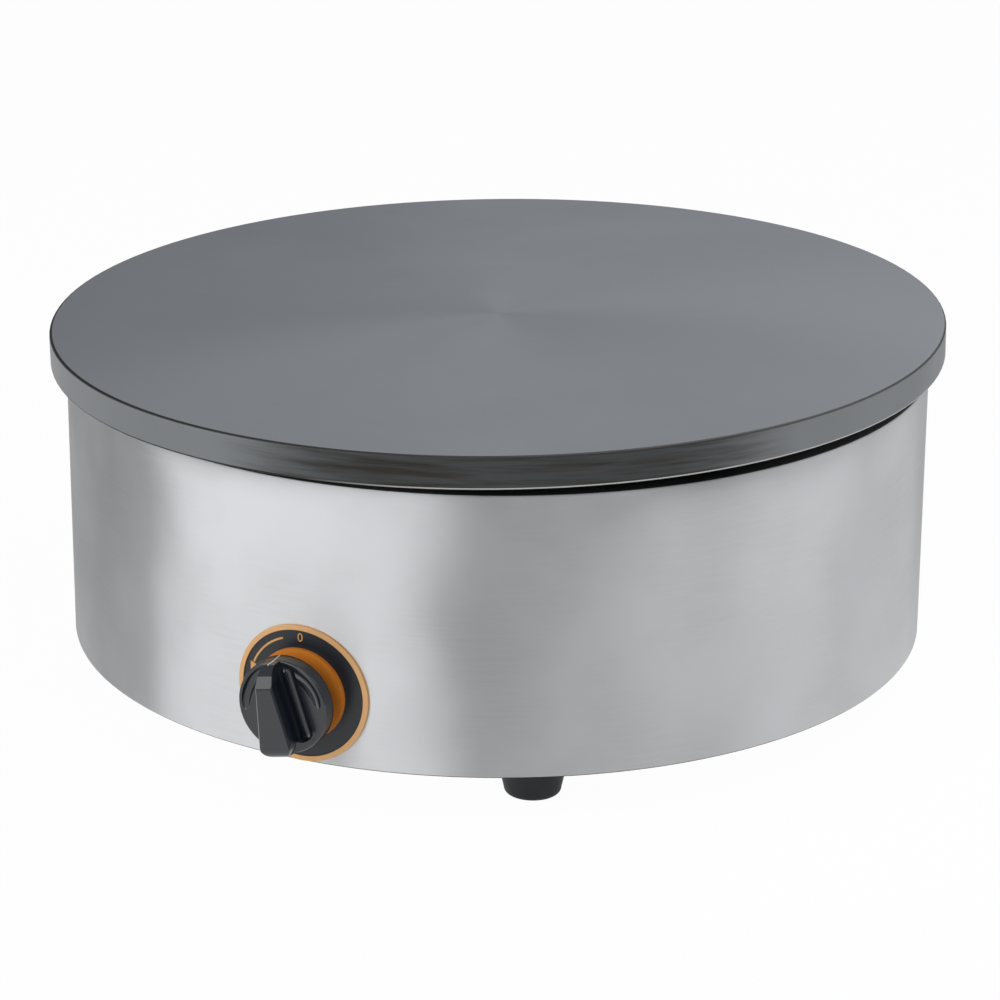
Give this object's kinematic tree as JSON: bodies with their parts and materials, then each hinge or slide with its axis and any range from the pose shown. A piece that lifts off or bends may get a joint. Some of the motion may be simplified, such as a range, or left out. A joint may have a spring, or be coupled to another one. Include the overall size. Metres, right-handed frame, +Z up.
{
  "type": "electric crepe maker",
  "caption": "Countertop crepe griddle: round cast plate on a brushed steel drum, a thermostat knob on a dial at the front, rubber feet and a cord gland at the rear.",
  "frame": {"origin": "on the drum's axis, on the surface that the feet stand on", "axes": "+Z up, -Y towards the knob at the front, +X to the right as seen from the front"},
  "size_m": [0.4002, 0.4395, 0.1638],
  "materials": {
    "griddle_iron": "smooth satin grey cooking surface",
    "drum_steel": "brushed round the drum",
    "plated_steel": "zinc-plated sheet, dull",
    "fastener_steel": "bright zinc",
    "foot_rubber": "matt",
    "seal_rubber": "matt",
    "element_sheath": "oxidised heater sheath",
    "ceramic": "unglazed steatite, off-white",
    "fibre_board": "ceramic fibre board",
    "copper": "bare copper",
    "terminal_brass": "nickel-free brass",
    "knob_plastic": "moulded black, semi-gloss",
    "dial_black": "satin black",
    "dial_gold": "peach gold",
    "dial_orange": "orange",
    "lead_brown": "glass-silicone sleeve",
    "lead_black": "glass-silicone sleeve",
    "lead_blue": "glass-silicone sleeve",
    "lead_green": "glass-silicone sleeve",
    "gland_plastic": "black polyamide"
  },
  "bodies": {
    "base": {"griddle_plate": "griddle_iron", "body_drum": "drum_steel", "seam_strip": "plated_steel", "base_plate": "plated_steel", "foot_1": "foot_rubber", "foot_2": "foot_rubber", "foot_3": "foot_rubber", "foot_4": "foot_rubber", "foot_screws": "fastener_steel", "foot_nuts": "fastener_steel", "base_screws": "fastener_steel", "base_nuts": "fastener_steel", "support_bracket_1": "plated_steel", "support_bracket_2": "plated_steel", "support_bracket_3": "plated_steel", "bracket_screws": "fastener_steel", "bracket_nuts": "fastener_steel", "levelling_studs": "fastener_steel", "levelling_nuts": "fastener_steel", "levelling_washers": "fastener_steel", "outer_element": "element_sheath", "inner_element": "element_sheath", "element_bushes": "ceramic", "element_pins": "fastener_steel", "element_links": "copper", "element_clamp_plate": "plated_steel", "insulation_board": "fibre_board", "reflector_pan": "plated_steel", "clamp_stud": "fastener_steel", "clamp_nut": "fastener_steel", "sensing_bulb": "copper", "capillary_tube": "copper", "thermostat_body": "ceramic", "thermostat_bracket": "plated_steel", "thermostat_screws": "fastener_steel", "thermostat_tabs": "terminal_brass", "dial_plate": "dial_black", "dial_trim_ring": "dial_gold", "dial_collar": "dial_orange", "terminal_block": "ceramic", "terminal_inserts": "terminal_brass", "terminal_screws": "fastener_steel", "block_screw": "fastener_steel", "earth_stud": "terminal_brass", "lead_live_in": "lead_brown", "lead_live_out": "lead_black", "lead_neutral": "lead_blue", "lead_earth": "lead_green", "gland_body": "gland_plastic", "gland_cap": "gland_plastic", "gland_seal": "seal_rubber", "gland_gasket": "seal_rubber", "gland_locknut": "gland_plastic"},
    "knob": {"knob": "knob_plastic", "spindle": "fastener_steel", "knob_clip": "fastener_steel"}
  },
  "joints": [
    {"name": "knob_turn", "type": "hinge", "parent": "base", "child": "knob", "pos_m": [0, -0.208, 0.049], "axis": [0, -1, 0], "range_deg": [-11, 259]}
  ]
}
